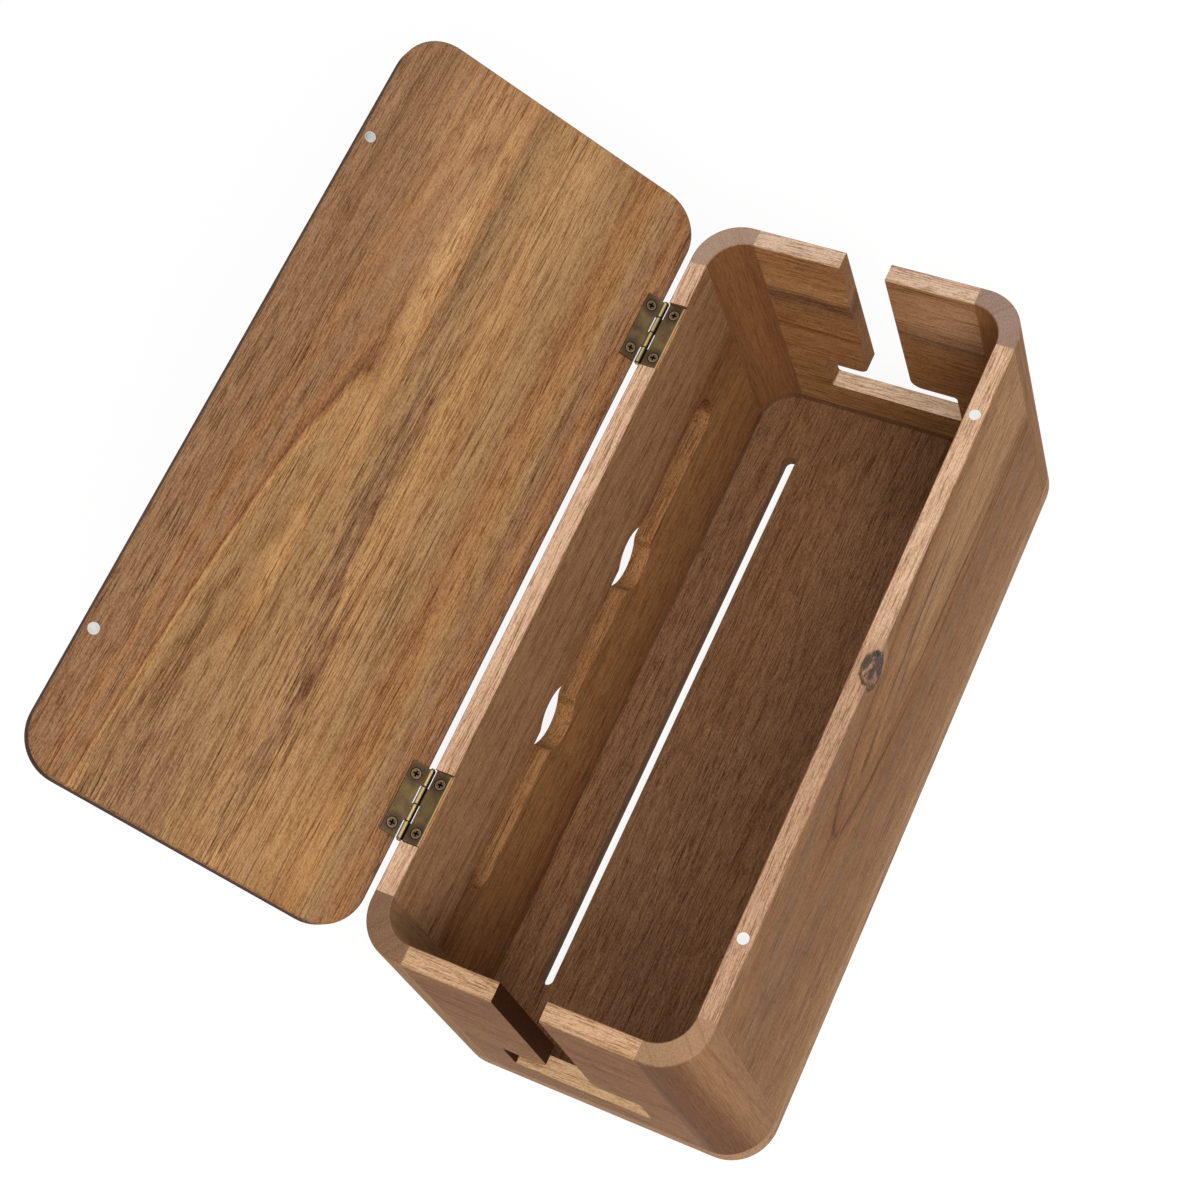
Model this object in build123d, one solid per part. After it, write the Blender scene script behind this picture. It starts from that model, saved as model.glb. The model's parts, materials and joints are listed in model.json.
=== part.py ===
from build123d import *
import os

# A wooden cable management box: four boards and four rounded corner posts are glued into a ring,
# the ring stands on a milled base board, and a two-stave lid turns on two small folded brass hinges.
# Millimetres, +Z up. X runs along the box and +Y points to the hinge side. The origin is the middle of
# the underside.

# ---------------------------------------------------------------- box
box_length = 325.0          # outside, along X
box_width = 138.0           # outside, along Y
rim_height = 128.6          # from the table to the open rim
wall = 7.7                  # every upright board
corner_radius = 19.0        # outside rounding of the corner posts and the base board
corner_flat = 3.0           # straight part of a post, from its rounding to its joint with a board
rim_ease = 0.4              # sanded edge along the rim

base_thickness = 10.2       # full thickness, seen outside as a band below the boards
floor_thickness = 6.1       # what the milled pocket leaves
base_ease = 1.6             # bevelled lower edge of the base board

vent_length = 252.0         # the two slots in the floor
vent_width = 5.2
vent_offset = 40.6          # from the middle line to each slot

# ---------------------------------------------------------------- cut-outs
stem_width = 19.3           # upright part of the inverted T in each end board
arm_width = 59.6            # its level part
sill_height = 27.3          # table to the lower edge of the T
arm_height = 19.2
stem_round = 4.8            # rounded tongues where the stem meets the arm
arm_round = 1.5             # corners at the ends of the arm

cable_slot_length = 226.0   # slot with round ends in the back board
cable_slot_height = 17.0
cable_slot_middle = 65.5    # height of its middle line
cable_hole_radius = 14.0    # two round holes lie on the slot
cable_hole_offset = 37.0
cable_hole_drop = 1.1       # their middles lie under the slot's middle line
cable_hole_blend = 3.5      # radius where a hole runs into the slot

# ---------------------------------------------------------------- lid
lid_thickness = 7.5
lid_corner_radius = 18.0
lid_ease = 0.7              # sanded edges, above and below
lid_gap = 0.3               # between the shut lid and the rim
stave_split = 78.6          # hinge edge to the glue line between the two staves
open_angle = 137.8          # how far the lid stands open from shut

# ---------------------------------------------------------------- hinges
hinge_inset = 56.8          # end of the box to the middle of each hinge
hinge_length = 28.6
knuckles = 4                # two on each leaf, in turn
knuckle_gap = 0.2
barrel_radius = 1.25
leaf_thickness = 1.1        # brass sheet folded double round the pin
leaf_width = 8.3            # from the pin's middle to the leaf's free edge
leaf_clearance = 0.5        # leaf to the other leaf's barrels
pin_standoff = 1.1          # pin's middle outside the back face of the box
pin_radius = 0.65
pin_head_radius = 0.95
pin_head_height = 0.4
pin_head_taper = 0.35       # how much narrower the head is at its end
bore_fit = 0.02             # pin in the knuckles that hold it
bore_running = 0.05         # pin in the knuckles that turn on it
fold_groove = 0.12          # hairline where the folded sheet meets itself
fold_depth = 0.4
notch_end_gap = 0.6         # leaf to each end of its notch in the rim

screw_offset = 10.1         # along the leaf, from its middle
screw_row = 5.2             # from the pin's middle
screw_length = 7.0
screw_radius = 0.85
screw_head_radius = 1.95
screw_fit = 0.03
cross_width = 0.7           # cross recess in the head
cross_span = 2.3
cross_depth = 0.6

# ---------------------------------------------------------------- magnets
magnet_radius = 2.25
magnet_thickness = 3.0
magnet_inset = 53.2         # end of the box to the middle of each magnet
magnet_fit = 0.05

# ---------------------------------------------------------------- what follows from them
corner_reach = corner_radius + corner_flat
board_run_x = box_length - 2 * corner_reach
board_run_y = box_width - 2 * corner_reach
corner_x = board_run_x / 2
corner_y = board_run_y / 2
board_height = rim_height - base_thickness
inside_face_y = box_width / 2 - wall
inside_length = box_length - 2 * wall
inside_width = box_width - 2 * wall
inside_radius = corner_reach - wall                 # so the hollow starts at the joints
hinge_offset = box_length / 2 - hinge_inset
magnet_offset = box_length / 2 - magnet_inset
magnet_y = -(box_width - wall) / 2
lid_underside = rim_height + lid_gap
pin_y = box_width / 2 + pin_standoff
pin_z = lid_underside - barrel_radius
leaf_gap = barrel_radius - leaf_thickness           # leaf's face to the pin's middle
notch_floor = pin_z - barrel_radius
notch_length = hinge_length + 2 * notch_end_gap
screw_head_height = leaf_thickness                  # the countersink goes right through the leaf
through = 4 * wall                                  # longer than any board is thick, or a post is wide
SIDES = {"left": -1, "right": 1}
hinge_axis = Axis((0, pin_y, pin_z), (1, 0, 0))


# ---------------------------------------------------------------- the ring of boards and posts
def board_section():
    """Upright section of a board, measured outwards from the line through its posts' inner joints."""
    board = Pos(corner_reach, base_thickness) * Rectangle(wall, board_height, align=(Align.MAX, Align.MIN))
    rim = board.vertices().group_by(Axis.Y)[-1]
    return chamfer(rim, rim_ease)


def long_board():
    """Board along X with its outer face towards +Y."""
    return Pos(0, corner_y, 0) * extrude(Plane.YZ * board_section(), board_run_x / 2, both=True)


def end_board():
    """Board along Y with its outer face towards +X, cut with an inverted T that is open at the rim."""
    board = Pos(corner_x, 0, 0) * extrude(Plane.XZ * board_section(), board_run_y / 2, both=True)
    return board - Pos(box_length / 2, 0, 0) * extrude(Plane.YZ * t_outline(), through, both=True)


def t_outline():
    """Inverted T: a level arm above a sill and a stem up through the rim."""
    over_rim = rim_height + wall - sill_height
    arm = Pos(0, sill_height) * Rectangle(arm_width, arm_height, align=(Align.CENTER, Align.MIN))
    stem = Pos(0, sill_height) * Rectangle(stem_width, over_rim, align=(Align.CENTER, Align.MIN))
    outline = (arm + stem).clean()
    level = sill_height + arm_height
    tongues = [v for v in outline.vertices() if abs(v.Y - level) < wall / 9 and abs(v.X) < arm_width / 3]
    outline = fillet(tongues, stem_round)
    ends = [v for v in outline.vertices() if abs(abs(v.X) - arm_width / 2) < wall / 9]
    return fillet(ends, arm_round)


def corner_post():
    """Post between +X and +Y, rounded outside and hollowed inside; it is as thick as the boards at its joints."""
    outline = RectangleRounded(box_length, box_width, corner_radius)
    outline -= RectangleRounded(inside_length, inside_width, inside_radius)
    ring = Pos(0, 0, base_thickness) * extrude(outline, board_height)
    ring = chamfer(ring.faces().sort_by(Axis.Z)[-1].edges(), rim_ease)
    beyond_joints = Box(through, through, 2 * rim_height, align=(Align.MIN, Align.MIN, Align.CENTER))
    return ring & Pos(corner_x, corner_y, 0) * beyond_joints


def cable_outline():
    """Slot with round ends that swells into two holes, drawn about its own middle."""
    slot = SlotOverall(cable_slot_length, cable_slot_height)
    hole = Pos(0, -cable_hole_drop) * Circle(cable_hole_radius)
    outline = slot + [Pos(side * cable_hole_offset, 0) * hole for side in SIDES.values()]
    joins = [v for v in outline.vertices() if abs(abs(v.X) - cable_hole_offset) < cable_hole_radius]
    return fillet(joins, cable_hole_blend)


def back_board():
    """Back board: cable slot, two hinge notches across the rim and pilot holes for the hinge screws."""
    cut = extrude(Plane.XZ * Pos(0, cable_slot_middle) * cable_outline(), through, both=True)
    board = long_board() - Pos(0, inside_face_y, 0) * cut
    for side in SIDES.values():
        notch = Box(notch_length, through, wall, align=(Align.CENTER, Align.CENTER, Align.MIN))
        board -= Pos(side * hinge_offset, inside_face_y, notch_floor) * notch
        board -= Pos(side * hinge_offset, pin_y, pin_z) * Part(children=pilot_holes())
    return board


def front_board():
    """Front board with a blind hole in the rim for each magnet."""
    board = Rot(0, 0, 180) * long_board()
    for side in SIDES.values():
        board -= Pos(side * magnet_offset, magnet_y, rim_height) * magnet_below(magnet_fit)
    return board


def base_board():
    """Base board with a bevelled lower edge, a milled pocket inside the walls and two floor slots."""
    board = extrude(RectangleRounded(box_length, box_width, corner_radius), base_thickness)
    board = chamfer(board.faces().sort_by(Axis.Z)[0].edges(), base_ease)
    pocket = RectangleRounded(inside_length, inside_width, inside_radius)
    board -= Pos(0, 0, floor_thickness) * extrude(pocket, base_thickness)
    for side in SIDES.values():
        slot = Pos(0, side * vent_offset) * SlotOverall(vent_length, vent_width)
        board -= extrude(slot, base_thickness, both=True)
    return board


# ---------------------------------------------------------------- lid, built shut and then turned open
def lid_blank():
    """The whole lid, shut, before it is parted into its staves."""
    outline = RectangleRounded(box_length, box_width, lid_corner_radius)
    blank = Pos(0, 0, lid_underside) * extrude(outline, lid_thickness)
    rims = blank.faces().sort_by(Axis.Z)
    return chamfer(rims[0].edges() + rims[-1].edges(), lid_ease)


def lid_half(width, edge_y, towards):
    """The part of the lid between a line at edge_y and width further on."""
    middle_z = lid_underside + lid_thickness / 2
    keep = Pos(0, edge_y + towards * width / 2, middle_z) * Box(2 * box_length, width, 2 * lid_thickness)
    return lid_blank() & keep


def back_stave():
    """Hinge-side stave with pilot holes for the hinge screws."""
    stave = lid_half(stave_split, box_width / 2, -1)
    for side in SIDES.values():
        hinge = Pos(side * hinge_offset, pin_y, pin_z)
        stave -= hinge * Rot(0, 180, 0) * Part(children=pilot_holes())
    return stave


def front_stave():
    """Free-edge stave with a blind hole for each magnet."""
    stave = lid_half(box_width - stave_split, -box_width / 2, 1)
    for side in SIDES.values():
        stave -= Pos(side * magnet_offset, magnet_y, lid_underside) * magnet_above(magnet_fit)
    return stave


def opened(shape):
    """Turns a piece of the shut lid to where the lid stands open."""
    return shape.rotate(hinge_axis, -open_angle)


# ---------------------------------------------------------------- magnets
def magnet_above(fit=0.0):
    """Magnet that stands on its own face, or the hole for it."""
    return extrude(Circle(magnet_radius + fit), magnet_thickness)


def magnet_below(fit=0.0):
    """Magnet that hangs from its own face, or the hole for it."""
    return extrude(Circle(magnet_radius + fit), -magnet_thickness)


# ---------------------------------------------------------------- hinges, drawn about the pin's middle
def knuckle_profile(bore):
    """Section of the folded sheet where it wraps the pin."""
    sheet = Pos(0, -barrel_radius) * Rectangle(leaf_width, leaf_thickness, align=(Align.MAX, Align.MIN))
    return sheet + Circle(barrel_radius) - Circle(bore)


def leaf(fit):
    """Leaf under the pin, towards -Y: every other knuckle from the -X end, two countersunk holes."""
    pitch = hinge_length / knuckles
    plate_width = leaf_width - barrel_radius - leaf_clearance
    plate = Pos(0, -leaf_width, -barrel_radius) * Box(
        hinge_length, plate_width, leaf_thickness, align=(Align.CENTER, Align.MIN, Align.MIN))
    barrel = extrude(Plane.YZ * knuckle_profile(pin_radius + fit), (pitch - knuckle_gap) / 2, both=True)
    shape = plate
    for index in range(0, knuckles, 2):
        shape += Pos((index + 0.5) * pitch - hinge_length / 2, 0, 0) * barrel
    fold = Box(2 * hinge_length, 2 * fold_depth, fold_groove)
    shape -= Pos(0, -leaf_width, -barrel_radius + leaf_thickness / 2) * fold
    return shape - Part(children=screws(screw_fit))


def at_screws(shape):
    """One copy of a shape for each of a leaf's two screws, with its top on the leaf's face."""
    return [Pos(side * screw_offset, -screw_row, -leaf_gap) * shape for side in SIDES.values()]


def screws(fit=0.0):
    """The two countersunk screws of a leaf, or with a fit the room that they need in it."""
    head = screw_head_radius + fit
    shank = screw_radius + fit
    profile = Polyline(
        (0, 0), (head, 0), (shank, -screw_head_height), (shank, -screw_length), (0, -screw_length), close=True)
    screw = revolve(Plane.XZ * make_face(profile), Axis.Z, 360)
    if not fit:
        cross = Box(cross_span, cross_width, 2 * cross_depth) + Box(cross_width, cross_span, 2 * cross_depth)
        screw -= cross
    return at_screws(screw)


def pilot_holes():
    """The two holes that a leaf's screws take in the wood."""
    return at_screws(extrude(Circle(screw_radius + screw_fit), -screw_length - screw_fit))


def pin():
    """Hinge pin with a small upset head beyond each end knuckle."""
    shank = hinge_length / 2 + knuckle_gap
    end = shank + pin_head_height
    half = Polyline(
        (0, 0), (0, pin_radius), (shank, pin_radius), (shank, pin_head_radius),
        (end, pin_head_radius - pin_head_taper), (end, 0), close=True)
    turned = revolve(make_face(half), Axis.X, 360)
    return turned + mirror(turned, Plane.YZ)


# ---------------------------------------------------------------- every node
def place_hinge(side):
    """Where a hinge's own frame goes, with the lid shut."""
    return Pos(SIDES[side] * hinge_offset, pin_y, pin_z)


def box_nodes():
    """Pieces that stay with the box."""
    nodes = {
        "base_board": base_board(),
        "front_board": front_board(),
        "back_board": back_board(),
        "end_board_right": end_board(),
        "end_board_left": Rot(0, 0, 180) * end_board(),
        "post_back_right": corner_post(),
        "post_front_left": Rot(0, 0, 180) * corner_post(),
        "post_back_left": mirror(corner_post(), Plane.YZ),
        "post_front_right": mirror(corner_post(), Plane.XZ),
    }
    for side, sign in SIDES.items():
        hinge = place_hinge(side)
        nodes[f"box_magnet_{side}"] = Pos(sign * magnet_offset, magnet_y, rim_height) * magnet_below()
        nodes[f"hinge_box_leaf_{side}"] = hinge * leaf(bore_fit)
        nodes[f"hinge_pin_{side}"] = hinge * pin()
        nodes[f"hinge_box_screws_{side}"] = [hinge * screw for screw in screws()]
    return nodes


def lid_nodes():
    """Pieces that turn with the lid, shut."""
    nodes = {"lid_stave_front": front_stave(), "lid_stave_back": back_stave()}
    for side, sign in SIDES.items():
        over = place_hinge(side) * Rot(0, 180, 0)
        nodes[f"lid_magnet_{side}"] = Pos(sign * magnet_offset, magnet_y, lid_underside) * magnet_above()
        nodes[f"hinge_lid_leaf_{side}"] = over * leaf(bore_running)
        nodes[f"hinge_lid_screws_{side}"] = [over * screw for screw in screws()]
    return nodes


def as_list(shapes):
    """One piece or several, as a list."""
    return shapes if isinstance(shapes, list) else [shapes]


def export(nodes, turn=None):
    """Writes each node to its own file, turned first if a turn is given."""
    for name, shapes in nodes.items():
        pieces = [turn(shape) if turn else shape for shape in as_list(shapes)]
        solids = [solid for piece in pieces for solid in piece.solids()]
        node = Compound(children=solids) if len(solids) > 1 else solids[0]
        export_step(node, f"parts/{name}.step")


os.makedirs("parts", exist_ok=True)
export(box_nodes())
export(lid_nodes(), opened)
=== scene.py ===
# %% [markdown]
# # A wooden cable management box
#
# The box is a ring of oiled acacia boards and rounded corner posts on a milled base board. Its lid is glued
# up from two staves and turns on two small folded brass hinges. The solids come ready made in one fixed
# frame, so nearly all the work here goes into what the wood and the metal look like.

# %% Load the solids
import json
from math import degrees, radians, tan

import bmesh
import bpy
from mathutils import Matrix, Vector


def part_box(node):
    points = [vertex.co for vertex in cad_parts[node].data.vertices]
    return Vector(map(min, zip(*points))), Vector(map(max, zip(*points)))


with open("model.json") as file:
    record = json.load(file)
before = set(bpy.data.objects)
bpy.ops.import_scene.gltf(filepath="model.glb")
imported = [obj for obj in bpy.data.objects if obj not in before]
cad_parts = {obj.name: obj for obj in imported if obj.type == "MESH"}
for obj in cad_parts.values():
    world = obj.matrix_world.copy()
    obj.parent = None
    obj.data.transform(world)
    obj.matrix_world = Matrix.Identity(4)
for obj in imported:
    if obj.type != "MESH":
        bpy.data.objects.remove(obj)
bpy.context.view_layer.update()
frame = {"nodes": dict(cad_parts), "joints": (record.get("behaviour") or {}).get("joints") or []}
nodes = frame["nodes"]

MM = 0.001

# %% [markdown]
# ## Where the pieces are
#
# A board's figure has to follow the board. Its place could be typed in, but it is safer to read it from the
# solids, because a change of height or width there then carries the wood with it. The lid stands open at
# rest, so its wood is described as if it were shut, and a turn about the hinge takes one to the other.

# %% Sizes read from the solids
rim_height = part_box("front_board")[1].z
half_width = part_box("base_board")[1].y
lid_joint = frame["joints"][0]
hinge_point = Vector(lid_joint["pos_m"])
open_angle = radians(-lid_joint["range_deg"][0])
shut_from_open = Matrix.Translation(hinge_point) @ Matrix.Rotation(open_angle, 4, "X") \
    @ Matrix.Translation(-hinge_point)
print(f"rim {rim_height / MM:.1f} mm high, lid open {degrees(open_angle):.1f} degrees")

# %% [markdown]
# ## Camera
#
# The camera looks down on the box from the left and from the front, with a long lens, so the upright boards
# only narrow a little towards the floor. It could be aimed by a constraint, but a place, the direction from
# the box back to the camera and the view's up direction fix it just as well, once and for all.

# %% Camera
CAMERA_PLACE = Vector((-0.3156, -0.3324, 0.9882))
TO_CAMERA = Vector((-0.3459, -0.3930, 0.8520)).normalized()
VIEW_UP = Vector((0.8400, 0.2750, 0.4678))
SENSOR_WIDTH = 36.0
FOCAL_LENGTH = 78.7
FRAME_SHIFT = (0.0100, -0.0917)
camera_right = VIEW_UP.cross(TO_CAMERA).normalized()
camera_up = TO_CAMERA.cross(camera_right)

camera = bpy.data.objects.new("camera", bpy.data.cameras.new("camera"))
camera.data.sensor_width = SENSOR_WIDTH
camera.data.lens = FOCAL_LENGTH
camera.data.shift_x, camera.data.shift_y = FRAME_SHIFT
camera.matrix_world = Matrix.Translation(CAMERA_PLACE) @ Matrix(
    (camera_right, camera_up, TO_CAMERA)).transposed().to_4x4()
bpy.context.scene.collection.objects.link(camera)
bpy.context.scene.camera = camera
bpy.context.scene.view_settings.view_transform = "Standard"
print(f"camera: {CAMERA_PLACE.length:.2f} m away, {FOCAL_LENGTH} mm lens")

# %% [markdown]
# ## Building materials from nodes
#
# Each material is a small network of nodes, which could be wired by hand in the shader editor. A few helpers
# keep such networks readable as a script: they add a node and plug in its inputs, or do one step of a
# calculation.


# %% Node helpers
def add(tree, kind, inputs=None, **settings):
    """Adds a shader node. An input is a value, or the output of another node."""
    node = tree.nodes.new("ShaderNode" + kind)
    for name, value in settings.items():
        setattr(node, name, value)
    for name, value in (inputs or {}).items():
        if isinstance(value, bpy.types.NodeSocket):
            tree.links.new(value, node.inputs[name])
        else:
            node.inputs[name].default_value = value
    return node


def arithmetic(tree, operation, *values):
    """The result of one Math node."""
    return add(tree, "Math", dict(enumerate(values)), operation=operation).outputs[0]


def vector(tree, operation, *values):
    """The result of one Vector Math node."""
    node = add(tree, "VectorMath", dict(enumerate(values)), operation=operation)
    return node.outputs["Value" if operation in ("LENGTH", "DOT_PRODUCT") else "Vector"]


def split(tree, value):
    """The X, Y and Z of a place or a direction."""
    return add(tree, "SeparateXYZ", {0: value}).outputs


def new_material(name):
    """An empty material, with its tree and its shader."""
    material = bpy.data.materials.new(name)
    material.use_nodes = True
    return material, material.node_tree, material.node_tree.nodes["Principled BSDF"]


print("node helpers:", [helper.__name__ for helper in (add, arithmetic, vector, split, new_material)])

# %% [markdown]
# ## Colours and layers
#
# Colours are written as they look on a screen and turned into the linear values that the renderer works in.
# A surface is built up as a painter does it, in layers: a ground colour, and over it one layer for each
# thing that changes it, with a mask that says where and how strongly. Layers painted by hand would look as
# good from one side, but here each stays a line that can be read and changed.


# %% Colour helpers
def linear(red, green, blue):
    """Screen colour, 0 to 255, as the linear colour of a material."""
    def channel(value):
        value /= 255
        return value / 12.92 if value <= 0.04045 else ((value + 0.055) / 1.055) ** 2.4
    return (channel(red), channel(green), channel(blue), 1.0)


def ramp(tree, factor, stops):
    """Colour ramp through (position, colour) stops."""
    node = add(tree, "ValToRGB", {"Fac": factor})
    elements = node.color_ramp.elements
    while len(elements) < len(stops):
        elements.new(0.5)
    for element, (position, colour) in zip(elements, stops):
        element.position = position
        element.color = colour
    return node.outputs["Color"]


def between(tree, value, low, high, reach=1.0):
    """0 where a value is at low, a reach where it is at high, and smooth between."""
    return add(tree, "MapRange", {"Value": value, "From Min": low, "From Max": high, "To Max": reach},
               interpolation_type="SMOOTHSTEP").outputs["Result"]


def blended(tree, how, amount, below, above):
    """Two colours laid over each other, as layers are in a paint program."""
    return add(tree, "Mix", {0: amount, 6: below, 7: above}, data_type="RGBA", blend_type=how,
               clamp_result=True).outputs[2]


print(f"half grey on a screen is {linear(128, 128, 128)[0]:.2f} of white's light")

# %% [markdown]
# ## Patterns
#
# Nearly every pattern here is noise that is stretched along the grain. A Mapping node does the stretching,
# and it also turns and moves a pattern to its place on a piece. A texture file would need the pieces to be
# unwrapped first, and noise doesn't.


# %% Pattern helpers
def mapped(tree, place, matrix=None, scale=(1, 1, 1), shift=(0, 0, 0)):
    """A Mapping node that applies a turn and a move, or a scale and a shift."""
    location = matrix.translation if matrix else shift
    rotation = matrix.to_euler() if matrix else (0, 0, 0)
    return add(tree, "Mapping", {"Vector": place, "Location": location, "Rotation": rotation,
                                 "Scale": scale}).outputs["Vector"]


def noise(tree, place, scale, shift=(0, 0, 0), detail=2.0, roughness=0.5, output="Fac"):
    """Noise with about so many blobs to a metre along each axis. The shift picks another part of it."""
    return add(tree, "TexNoise", {"Vector": mapped(tree, place, scale=scale, shift=shift), "Scale": 1.0,
                                  "Detail": detail, "Roughness": roughness}).outputs[output]


print("pattern helpers:", [helper.__name__ for helper in (mapped, noise)])

# %% [markdown]
# ## Wood that goes right through
#
# A board is a slice of a trunk, and its figure comes from where the slice was taken. A flat texture of wood
# could be wrapped round the board, but it would break at the corners and be wrong on the ends. So each
# board's colour is worked out in three dimensions, from its own trunk: a straight line stands for the pith,
# and the colour depends on how far a point lies from it. Where the pith leans against a face, the rings meet
# that face in long pointed arches, which woodworkers call flames, and where a board ends, the same rings
# turn into arcs by themselves.

# %% Frames that follow the grain
ALONG = {"x": Matrix.Identity(4), "y": Matrix.Rotation(radians(-90), 4, "Z"),
         "z": Matrix.Rotation(radians(90), 4, "Y"), "lid": shut_from_open}
SWAY_SCALE = (9, 32, 32)


def grain_frame(grain, origin, lean=(0, 0)):
    """Turns a place on the part into a frame with its X axis along the grain, through an origin in mm.

    The lean tips that axis by so many degrees towards Y and towards Z."""
    heading = Vector((1, tan(radians(lean[0])), tan(radians(lean[1]))))
    upright = heading.rotation_difference(Vector((1, 0, 0))).to_matrix().to_4x4()
    return upright @ Matrix.Translation(-Vector(origin) * MM) @ ALONG[grain]


def distance_from_axis(tree, place):
    """How far a place lies from the X axis of its frame."""
    return vector(tree, "LENGTH", vector(tree, "MULTIPLY", place, (0, 1, 1)))


def swayed(tree, place, seed, amount):
    """The place moved sideways by slow noise, so rings, fibres and pores wander together."""
    slow = noise(tree, place, SWAY_SCALE, (seed, 3 * seed, 7 * seed), detail=3.0, output="Color")
    off = vector(tree, "SUBTRACT", slow, (0.5, 0.5, 0.5))
    return vector(tree, "ADD", place, vector(tree, "MULTIPLY", off, (0, amount * MM, amount * MM)))


print("grain may run along:", list(ALONG))

# %% [markdown]
# ## Growth rings and bands
#
# The rings are noise that changes fast outwards from the pith and hardly at all along it. Wider bands of
# colour follow the same distance. Evenly spaced rings would be simpler to make, but in real wood no two are
# alike.

# %% Rings and bands
RINGS = {"scale": (3, 550, 1), "detail": 3.0, "roughness": 0.65}


def growth_rings(tree, bent, radius, seed):
    """Rings of uneven width, by the place along the pith and the distance from it."""
    along = split(tree, bent)["X"]
    return noise(tree, add(tree, "CombineXYZ", {0: along, 1: radius, 2: float(seed)}).outputs[0], **RINGS)


def colour_by(tree, length, stops):
    """Colour that changes with a length, through (mm, colour) stops."""
    first, last = stops[0][0] * MM, stops[-1][0] * MM
    share = add(tree, "MapRange", {"Value": length, "From Min": first, "From Max": last}).outputs["Result"]
    return ramp(tree, share, [((at * MM - first) / (last - first), colour) for at, colour in stops])


def band_colour(tree, radius, rings, bands, ragged):
    """Colour by distance from the pith; the rings make the bands' edges ragged."""
    uneven = arithmetic(tree, "MULTIPLY_ADD", arithmetic(tree, "SUBTRACT", rings, 0.5), ragged * MM, radius)
    return colour_by(tree, uneven, bands)


print("rings: about", RINGS["scale"][1] * MM, "to a mm")

# %% [markdown]
# ## Clouds and arches
#
# Trunks aren't regular, so soft clouds of another colour may lie in the wood, and single dark growth lines
# with their own centre. Both could be painted by hand on each face. Here each is a shape in the trunk, an
# ellipsoid or a thin pipe, so it goes round a corner as the real one does. The grain tears the edges of a
# cloud.

# %% Clouds and arches
# In half sizes of a cloud: where it starts, where it is full and how far the grain tears its edge.
CLOUD_EDGE = 1.15
CLOUD_CORE = 0.15
CLOUD_TEAR = 2.6

# A single line comes and goes along its length with slow noise.
ARCH_FADE_SCALE = (26, 90, 90)
ARCH_FADE = (0.34, 0.56)


def with_clouds(tree, colour, place, grain, clouds, uneven):
    """Long clouds of another colour: (centre, lean, half sizes, colour, amount), in mm and degrees. An uneven
    value with a mean of 1 tears their edges along the grain."""
    for centre, lean, size, tint, amount in clouds:
        near = mapped(tree, place, grain_frame(grain, centre, lean))
        far = vector(tree, "LENGTH", vector(tree, "DIVIDE", near, tuple(length * MM for length in size)))
        inside = arithmetic(tree, "SUBTRACT", far, CLOUD_TEAR)
        torn = arithmetic(tree, "MULTIPLY_ADD", uneven, CLOUD_TEAR, inside)
        colour = blended(tree, "MIX", between(tree, torn, CLOUD_EDGE, CLOUD_CORE, amount), colour, tint)
    return colour


def with_arches(tree, colour, place, grain, arches, seed, sway):
    """Single dark growth lines: (pith, lean, radius, half width, colour, amount), in mm and degrees."""
    for pith, lean, radius, width, tint, amount in arches:
        own = swayed(tree, mapped(tree, place, grain_frame(grain, pith, lean)), seed, sway)
        off = arithmetic(tree, "SUBTRACT", distance_from_axis(tree, own), radius * MM)
        line = between(tree, arithmetic(tree, "ABSOLUTE", off), width * MM, 0.0, amount)
        fade = noise(tree, own, ARCH_FADE_SCALE, (0, seed, 5))
        line = arithmetic(tree, "MULTIPLY", line, between(tree, fade, *ARCH_FADE))
        colour = blended(tree, "MULTIPLY", line, colour, tint)
    return colour


print(f"a cloud fades out over {CLOUD_EDGE - CLOUD_CORE:.0%} of its half size")

# %% [markdown]
# ## A dead knot
#
# A branch that died before the trunk grew round it leaves a knot with a dark bark ring, a cracked heart and
# pale wood at one end. It could be a small piece of its own, set in the board, but it is flush with the
# sanded face, so colour alone makes it: an ellipsoid with a roughened edge, cut into collar, bark and heart
# by distance from its middle.

# %% Knot
KNOT_CRACKS = {"scale": (2.2, 5.0, 2.2), "detail": 4.0, "roughness": 0.7}
KNOT_RAGGED = 0.4
KNOT_HEART = [(0.32, linear(44, 36, 34)), (0.42, linear(88, 80, 78)), (0.48, linear(62, 46, 38)),
              (0.56, linear(130, 96, 76)), (0.66, linear(156, 122, 98))]
KNOT_COLLAR = linear(168, 130, 100)
KNOT_BARK = linear(70, 48, 36)


def with_knot(tree, colour, spot, centre, size):
    """A small dead knot, by its centre and half sizes in mm. Counted in half sizes, its edge is at 1."""
    near = vector(tree, "SUBTRACT", spot, tuple(value * MM for value in centre))
    near = vector(tree, "DIVIDE", near, tuple(value * MM for value in size))
    cracks = noise(tree, near, **KNOT_CRACKS)
    inside = arithmetic(tree, "SUBTRACT", vector(tree, "LENGTH", near), KNOT_RAGGED / 2)
    far = arithmetic(tree, "MULTIPLY_ADD", cracks, KNOT_RAGGED, inside)
    along = split(tree, near)["X"]
    heart = ramp(tree, arithmetic(tree, "MULTIPLY_ADD", along, -0.10, cracks), KNOT_HEART)

    # The pale collar lies at one end of the knot, the dark bark round the rest of it.
    collar = arithmetic(tree, "MULTIPLY", between(tree, far, 1.5, 1.1, 0.6), between(tree, along, 0.0, 0.6))
    colour = blended(tree, "MIX", collar, colour, KNOT_COLLAR)
    bark = arithmetic(tree, "MULTIPLY", between(tree, far, 1.04, 0.94, 0.9), between(tree, along, 0.9, 0.2))
    colour = blended(tree, "MIX", bark, colour, KNOT_BARK)
    return blended(tree, "MIX", between(tree, far, 0.95, 0.80), colour, heart)


print("colours in a knot's heart:", len(KNOT_HEART))

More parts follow.
